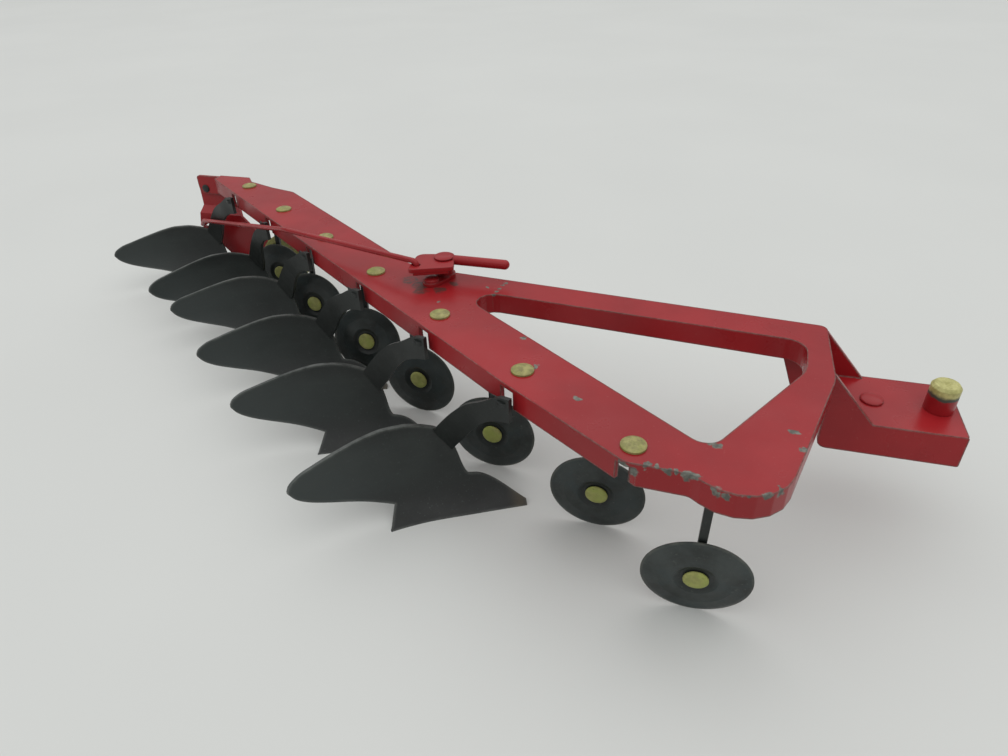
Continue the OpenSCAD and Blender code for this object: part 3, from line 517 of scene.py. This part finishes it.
def bottom_parts(i, p):
    """The sheet, the arm and the tab of bottom i + 1, in mm of the working frame, with each
    sheet point's distance along the share, its height and its nearness to the rim"""
    turn, ahead, left = BOTTOMS[i]
    rivet = BACK * RIVET_PITCH * (i + 1)
    nose = np.array([rivet[0] + ahead, rivet[1] + left, 0.0])
    aim = math.radians(SHARE_ANGLE - 90 + turn)
    uz, keep = share_and_wing(p)
    front = sheet_face(uz[..., 0], uz[..., 1], p)
    step = 0.01
    n = np.cross(sheet_face(uz[..., 0] + step, uz[..., 1], p) - sheet_face(uz[..., 0] - step, uz[..., 1], p),
                 sheet_face(uz[..., 0], uz[..., 1] + step, p) - sheet_face(uz[..., 0], uz[..., 1] - step, p))
    back = front + p.sheet * n / np.linalg.norm(n, axis=-1, keepdims=True)
    back[..., 2] = np.maximum(0, back[..., 2])
    v, f, rim = closed_sheet(front, back, keep)
    edge = front.reshape(-1, 3)[np.unique(rim)]
    rim_reach = 1.1
    near = np.concatenate([np.linalg.norm(chunk[:, None] - edge[None], axis=-1).min(1)
                           for chunk in np.array_split(front.reshape(-1, 3), 8)])
    marks = {"along": np.tile(uz[..., 0].ravel(), 2), "height": np.tile(uz[..., 1].ravel(), 2),
             "rim": np.tile(np.exp(-near / rim_reach), 2)}
    sheet = (turned(v, aim) + nose, f.tolist())

    # the arm: a ribbon between its two edges, twisted at its foot to end along the shin
    skirt, ahead_of_rivet, gap = 7.9 + 1.4 * i / 5, 7.4, 0.35
    start = rivet - BACK * ahead_of_rivet + SIDE * (skirt + gap + p.sheet)
    foot = (turned(np.array([-12.4, -24.5, 0.0]), aim) + nose)[:2]
    reach = np.linalg.norm(foot - start)
    way = (foot - start) / reach
    out_of_skirt = np.array([way[1], -way[0]])
    t = np.linspace(0, 1, 40)
    edges = []
    for table, uz_end in ((ARM_UPPER, (25.6, 26.2)), (ARM_LOWER, (20.3, 18.9))):
        s = table[-1, 0] * t
        xy = start + np.outer(s * reach, way)
        line = np.c_[xy, TAB_LOW + p.sheet + glide(s, table)]
        mid = sheet_face(np.array(uz_end[0]), np.array(uz_end[1]), p) + np.array([-0.5 * p.sheet, 0, 0])
        end = turned(mid, aim) + nose
        w = np.clip((t - 0.45) / 0.55, 0, 1)
        edges.append(line + np.outer(w * w * (3 - 2 * w), end - line[-1]))
    q = np.linspace(0, 1, 9)[None, :, None]
    outer = edges[0][:, None] * (1 - q) + edges[1][:, None] * q
    inward = slope_of(outer)
    inward *= -np.sign(inward[0, 0, :2] @ out_of_skirt)
    a, b, _ = closed_sheet(outer, outer + p.sheet * inward)
    arm = (a, b.tolist())

    # the tab: a link with round ends under the rivet and at the fold
    fold = start + way * 2.6
    d = fold - rivet
    r1, r2 = 2.9, 2.2
    heading, lap = math.atan2(d[1], d[0]), math.acos((r1 - r2) / np.linalg.norm(d))
    g1 = heading + lap + (2 * math.pi - 2 * lap) * np.linspace(0, 1, 24)
    g2 = heading - lap + 2 * lap * np.linspace(0, 1, 12)
    ring = np.concatenate((
        rivet + r1 * np.c_[np.cos(g1), np.sin(g1)], fold + r2 * np.c_[np.cos(g2), np.sin(g2)]))
    over = np.maximum(0, (ring - start) @ out_of_skirt)
    ring = ring - np.outer(over, out_of_skirt)
    tab = raised(ring, TAB_LOW, TAB_LOW + p.sheet)
    extra = len(arm[0]) + len(tab[0])
    for key, value in (("along", 30.0), ("height", 30.0), ("rim", 0.0)):
        marks[key] = np.concatenate((marks[key], np.full(extra, value)))
    return [sheet, arm, tab], marks


def bottom_finish(colours):
    """Blackened sheet: cloudy, with faint streaks along the share, a paler rubbed rim, painted light on the
    wing, painted shade on the share and crest, and a brown nose, from the sheet's own distance and height"""
    s = Shader("blackened bottoms")
    base = tuple(colours.steel)
    along = s.node("ShaderNodeAttribute", attribute_name="along").outputs["Fac"]
    height = s.node("ShaderNodeAttribute", attribute_name="height").outputs["Fac"]
    rim = s.node("ShaderNodeAttribute", attribute_name="rim").outputs["Fac"]
    cloud = s.band(s.noise(48, 5, 0.6), 0.3, 0.7)
    colour = s.mix(cloud, shade(base, 0.75), shade(base, 1.3))
    flow = s.node("ShaderNodeCombineXYZ", {
        0: s.math("MULTIPLY", along, 0.05), 1: s.math("MULTIPLY", height, 0.5)}).outputs[0]
    streak = s.band(s.noise(1.0, 5, 0.6, at=flow), 0.5, 0.72, (0, 0.35))
    colour = s.mix(streak, colour, shade(base, 1.9))
    # Painted light: lighter towards the wing's tip, where the wing faces up into the light
    colour = s.mix(s.band(along, 22, 68, (0, 0.85)), colour, (0.037, 0.046, 0.044))
    # Painted shade: darker low on the share and high on the crest, less so towards the wing
    painted_shade = s.math("MAXIMUM", s.band(height, 15, 3, (0, 0.8)), s.band(height, 22, 29, (0, 0.5)))
    painted_shade = s.math("MULTIPLY", painted_shade, s.band(along, 62, 40, (0.15, 1)))
    colour = s.mix(painted_shade, colour, shade(base, 0.36))
    specks = s.band(s.noise(1300, 2, shift=4.2), 0.62, 0.76, (0, 0.45))
    colour = s.mix(specks, colour, shade(base, 3.2))
    patch_weight = s.math("MULTIPLY", s.band(rim, 0.35, 1.0), s.band(s.noise(160, 4, 0.7), 0.3, 0.62, (0.15, 1.0)))
    colour = s.mix(s.math("MULTIPLY", patch_weight, 0.6), colour, (0.12, 0.13, 0.12))
    brown = s.math("MULTIPLY", s.band(along, 6.0, -0.5), s.band(s.noise(210, 3), 0.3, 0.6, (0.3, 1.0)))
    colour = s.mix(s.math("MULTIPLY", brown, 0.55), colour, (0.11, 0.085, 0.05))
    s.set(Base_Color=colour, Specular_IOR_Level=0.45,
          Roughness=s.band(s.noise(85, 5, 0.65, shift=6.0), 0.3, 0.7, (0.36, 0.54)))
    s.set(Normal=s.bump(s.noise(700, 4, 0.6), 0.1, 0.00008))
    return s.material


# Turned and bent pieces

# The rod's corners, in mm of the working frame. Columns: x, y, z, bend radius
ROD = np.array(((-84.9, 70.9, 57.2, 0), (-84.9, 70.9, 61.5, 1.8), (-153.3, 97.1, 57.0, 22),
                (-243.0, 156.2, 31.5, 3), (-247.5, 159.2, 27.6, 2), (-247.5, 164.3, 27.6, 0)))
LEVER_PIVOT = np.array([-77.66, 78.87, 60.4])


class RivetSizes(bpy.types.PropertyGroup):
    """Sizes of the rivets and the rod, in millimetres"""
    head: bpy.props.FloatProperty(name="Head", description="Radius of a frame rivet's head", default=3.3)
    rise: bpy.props.FloatProperty(name="Rise", description="Height of a frame rivet's head", default=1.3)
    disc_head: bpy.props.FloatProperty(
        name="Disc head", description="Radius of a disc rivet's head", default=3.4)
    lever_head: bpy.props.FloatProperty(
        name="Lever head", description="Radius of the lever rivet's head", default=3.6)
    shank: bpy.props.FloatProperty(
        name="Shank", description="Radius of the frame and disc rivets' shanks", default=1.5)
    rod: bpy.props.FloatProperty(name="Rod", description="Radius of the rod", default=1.0)


def ringed(centres, radii, ways, sides=40, uneven=0.0):
    """Vertices and faces of a round body: a ring of each radius about each centre, square to
    its way and carried along without twist, and a fan of faces over each end. Uneven swells
    every ring by that share, twice and three times a turn."""
    a = np.linspace(0, 2 * math.pi, sides, endpoint=False)
    swell = 1 + uneven * (np.sin(2 * a + centres[0][0]) + 0.6 * np.sin(3 * a + centres[0][1]))
    side = np.cross(ways[0], (0.31, 0.83, 0.46))
    rings = []
    for centre, radius, way in zip(centres, radii, ways):
        side = side - (side @ way) * way
        side = side / np.linalg.norm(side)
        circle = np.outer(np.cos(a), side) + np.outer(np.sin(a), np.cross(way, side))
        rings.append(centre + radius * swell[:, None] * circle)
    n, k = len(rings), sides
    points = np.concatenate(rings + [[rings[0].mean(0)], [rings[-1].mean(0)]])
    row, turn = np.meshgrid(np.arange(n - 1), np.arange(k), indexing="ij")
    near, far = row * k + turn, row * k + (turn + 1) % k
    walls = np.stack((near, far, far + k, near + k), -1).reshape(-1, 4)
    j, last = np.arange(k), (n - 1) * k
    first_fan = np.stack((np.full(k, n * k), (j + 1) % k, j), -1)
    last_fan = np.stack((np.full(k, n * k + 1), last + j, last + (j + 1) % k), -1)
    return points, walls.tolist() + first_fan.tolist() + last_fan.tolist()


def riveted(foot, axis, head, rise, shank, grip, tail, power, brim=0.42):
    """A rivet whose head stands on foot, with its tail past the grip. The head's height at radius
    r is rise (brim + (1 - brim) (1 - (r / head)^power)): the higher the power, the flatter its top."""
    axis = np.asarray(axis, float) / np.linalg.norm(axis)
    r = head * np.sin(np.linspace(0.1, 1, 14) * math.pi / 2)
    dome = rise * (brim + (1 - brim) * (1 - (r / head) ** power))
    rows = [*zip(r, dome), (head, 0), (shank, 0), (shank, -grip),
            (tail, -grip), (tail, -grip - 0.5), (tail * 0.75, -grip - 0.9)]
    radii, heights = np.array(rows).T
    return ringed(foot + np.outer(heights, axis), radii, np.tile(-axis, (len(rows), 1)), uneven=0.011)


def bent(rows, radius, steps=14):
    """A round wire through corners rounded by a curve that touches both sides of each:
    b + u reach (1 - t)^2 + v reach t^2, with rounded ends"""
    p = rows[:, :3]
    path = [p[:1]]
    for a, b, c, bend in zip(p, p[1:], p[2:], rows[1:-1, 3]):
        u, v = (a - b) / np.linalg.norm(a - b), (c - b) / np.linalg.norm(c - b)
        reach = bend / math.tan(math.acos(float(u @ v)) / 2)
        t = np.linspace(0, 1, steps)[:, None]
        path.append(b + u * reach * (1 - t) ** 2 + v * reach * t ** 2)
    path = np.concatenate(path + [p[-1:]])
    ways = np.gradient(path, axis=0)
    ways /= np.linalg.norm(ways, axis=1, keepdims=True)
    turn = np.radians((15, 45, 70))[:, None]
    first = path[0] - ways[0] * radius * 0.6 * np.cos(turn)
    last = path[-1] + ways[-1] * radius * 0.6 * np.cos(turn[::-1])
    end = radius * np.sin(turn[:, 0])
    radii = np.concatenate((end, np.full(len(path), radius), end[::-1]))
    return ringed(np.concatenate((first, path, last)), radii,
                  np.concatenate((np.tile(ways[0], (3, 1)), ways, np.tile(ways[-1], (3, 1)))), 24)


# Operators

class PLOUGH_OT_stage(bpy.types.Operator):
    """Camera at the photograph's viewing angle, pale floor, even sky and one soft lamp"""
    bl_idname = "plough.stage"
    bl_label = "Stage"

    def execute(self, context):
        p = context.scene.plough_stage
        cy, sy, cp, sp = math.cos(p.yaw), math.sin(-p.yaw), math.cos(p.pitch), math.sin(p.pitch)
        ahead = Vector((sy * cp, cy * cp, -sp))
        right = Vector((cy, -sy, 0.0))
        down = ahead.cross(right)
        c, s = math.cos(p.roll), math.sin(p.roll)
        x, y = c * right + s * down, -(-s * right + c * down)
        turn = Matrix((x, y, -ahead)).transposed()
        data = bpy.data.cameras.new("camera")
        data.sensor_width, data.lens, data.clip_start = 36.0, p.lens, 0.005
        camera = bpy.data.objects.new("camera", data)
        camera.matrix_world = Matrix.Translation(p.place) @ turn.to_4x4()
        context.collection.objects.link(camera)
        context.scene.camera = camera

        mesh = bpy.data.meshes.new("floor")
        half = 6.0
        corners = [(x * half, y * half, FLOOR_Z) for x, y in ((-1, -1), (1, -1), (1, 1), (-1, 1))]
        mesh.from_pydata(corners, [], [(0, 1, 2, 3)])
        floor = bpy.data.objects.new("floor", mesh)
        mesh.materials.append(floor_finish("pale floor", tuple(p.floor)))
        context.collection.objects.link(floor)

        world = bpy.data.worlds.new("even sky")
        world.use_nodes = True
        background = world.node_tree.nodes["Background"]
        background.inputs["Color"].default_value = (1.0, 1.0, 1.0, 1)
        background.inputs["Strength"].default_value = p.sky
        context.scene.world = world

        lamp_data = bpy.data.lights.new("soft lamp", "AREA")
        lamp_data.energy, lamp_data.size = p.lamp, 9.0
        lamp = bpy.data.objects.new("soft lamp", lamp_data)
        lamp.location = (-0.3, 0.5, 3.0)
        context.collection.objects.link(lamp)

        context.scene.view_settings.view_transform = "Standard"
        return {"FINISHED"}


class PLOUGH_OT_finishes(bpy.types.Operator):
    """Red enamel, blackened steel and yellow zinc on the CAD's own pieces"""
    bl_idname = "plough.finishes"
    bl_label = "Finishes"

    def execute(self, context):
        p = context.scene.plough_finish
        seven, six = range(1, 8), range(1, 7)
        dress(["frame"], enamel_finish("red enamel, chipped", p, 1.12, chipped=CHIPPED, shaded=SHADE_UNDER_LEVER))
        dress(["hitch_box"], enamel_finish("red enamel, edges chipped", p, 1.2))
        dress(["hitch_rivet", "lever_post", "lever", "lever_rivet", "rod", "tail_arm"],
              enamel_finish("red enamel", p, 0.4, 0.0005))
        dress(["hitch_peg"], peg_finish("worn peg", p))
        dress([f"rivet_{i}" for i in seven] + [f"coulter_pin_{i}" for i in seven], zinc_finish("zinc", p))
        dress(["tail_wheel", "tail_axle"], zinc_finish("zinc wheel", p, 0.8, 0.0004))
        centres = [j["pos_m"] for j in frame["joints"] if j["name"].startswith("coulter_spin")]
        for i, centre in enumerate(centres):
            dress([f"coulter_disc_{i + 1}"], disc_finish(f"blackened disc {i + 1}", p, centre, 0.37 * i))
        dress([f"coulter_arm_{i}" for i in seven] + ["tail_pivot"], steel_finish("blackened arms", p, 0.8))
        dress([f"bottom_{i}" for i in six], steel_finish("blackened bottoms", p))
        return {"FINISHED"}


class PLOUGH_OT_bottoms(bpy.types.Operator):
    """Six shares and moldboards, each one curved sheet with its folded arm"""
    bl_idname = "plough.bottoms"
    bl_label = "Bottoms"

    def execute(self, context):
        p = context.scene.plough_bottom
        finish = bottom_finish(context.scene.plough_finish)
        for i in range(6):
            parts, marks = bottom_parts(i, p)
            o = made(f"moldboard_{i + 1}", parts, "frame", finish, marks=marks)
            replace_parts(o, f"bottom_{i + 1}")
        return {"FINISHED"}


class PLOUGH_OT_rivets(bpy.types.Operator):
    """Flattened zinc rivet heads on the frame and the discs, the lever's rivet and the bent rod"""
    bl_idname = "plough.rivets"
    bl_label = "Rivets and rod"

    def execute(self, context):
        p, colours = context.scene.plough_rivet, context.scene.plough_finish
        pale = zinc_finish("zinc rivets", colours, 0.76)
        green = zinc_finish("zinc disc rivets", colours, 0.9, green=0.95)
        red = enamel_finish("red enamel, small pieces", colours, 0.45, 0.0004)
        hinges = [j for j in frame["joints"] if j["name"].startswith("coulter_spin")]
        up, half_disc = (0, 0, 1), 0.75
        for i, hinge in enumerate(hinges):
            foot = np.append(BACK * RIVET_PITCH * i, FRAME_TOP)
            grip = 4.1 if i else 2.7
            part = riveted(foot, up, p.head, p.rise, p.shank, grip, tail=2.5, power=3.2)
            piece = made(f"frame_rivet_{i + 1}", [part], "frame", pale, 0.0001)
            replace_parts(piece, f"rivet_{i + 1}")
            axis = np.array(hinge["axis"])
            foot = np.array(hinge["pos_m"]) / MM + PEG + half_disc * axis
            part = riveted(foot, axis, p.disc_head, 0.95, p.shank, grip=2.9, tail=2.4, power=7)
            piece = made(f"disc_rivet_{i + 1}", [part], "frame", green, 0.0001)
            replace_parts(piece, f"coulter_pin_{i + 1}")
        part = riveted(LEVER_PIVOT, up, p.lever_head, 1.0, shank=1.6, grip=8.7, tail=2.3, power=4)
        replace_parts(made("lever_rivet_head", [part], "frame", red, 0.0001), "lever_rivet")
        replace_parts(made("bent_rod", [bent(ROD, p.rod)], "rod", red, 0.0001), "rod")
        return {"FINISHED"}


class PLOUGH_PT_panel(bpy.types.Panel):
    """Lists the plough's steps"""
    bl_idname = "PLOUGH_PT_panel"
    bl_label = "Toy plough"
    bl_space_type = "VIEW_3D"
    bl_region_type = "UI"
    bl_category = "Plough"

    def draw(self, context):
        for step in STEPS:
            self.layout.operator(step.bl_idname)


STEPS = (PLOUGH_OT_stage, PLOUGH_OT_finishes, PLOUGH_OT_bottoms, PLOUGH_OT_rivets)
CLASSES = (StageSizes, FinishColours, BottomSizes, RivetSizes, *STEPS, PLOUGH_PT_panel)


def register():
    for c in CLASSES:
        bpy.utils.register_class(c)
    bpy.types.Scene.plough_stage = bpy.props.PointerProperty(type=StageSizes)
    bpy.types.Scene.plough_finish = bpy.props.PointerProperty(type=FinishColours)
    bpy.types.Scene.plough_bottom = bpy.props.PointerProperty(type=BottomSizes)
    bpy.types.Scene.plough_rivet = bpy.props.PointerProperty(type=RivetSizes)


def unregister():
    del bpy.types.Scene.plough_stage, bpy.types.Scene.plough_finish, bpy.types.Scene.plough_bottom
    del bpy.types.Scene.plough_rivet
    for c in reversed(CLASSES):
        bpy.utils.unregister_class(c)


def main():
    register()
    bpy.ops.plough.stage()
    bpy.ops.plough.finishes()
    bpy.ops.plough.bottoms()
    bpy.ops.plough.rivets()


if __name__ == "__main__":
    main()
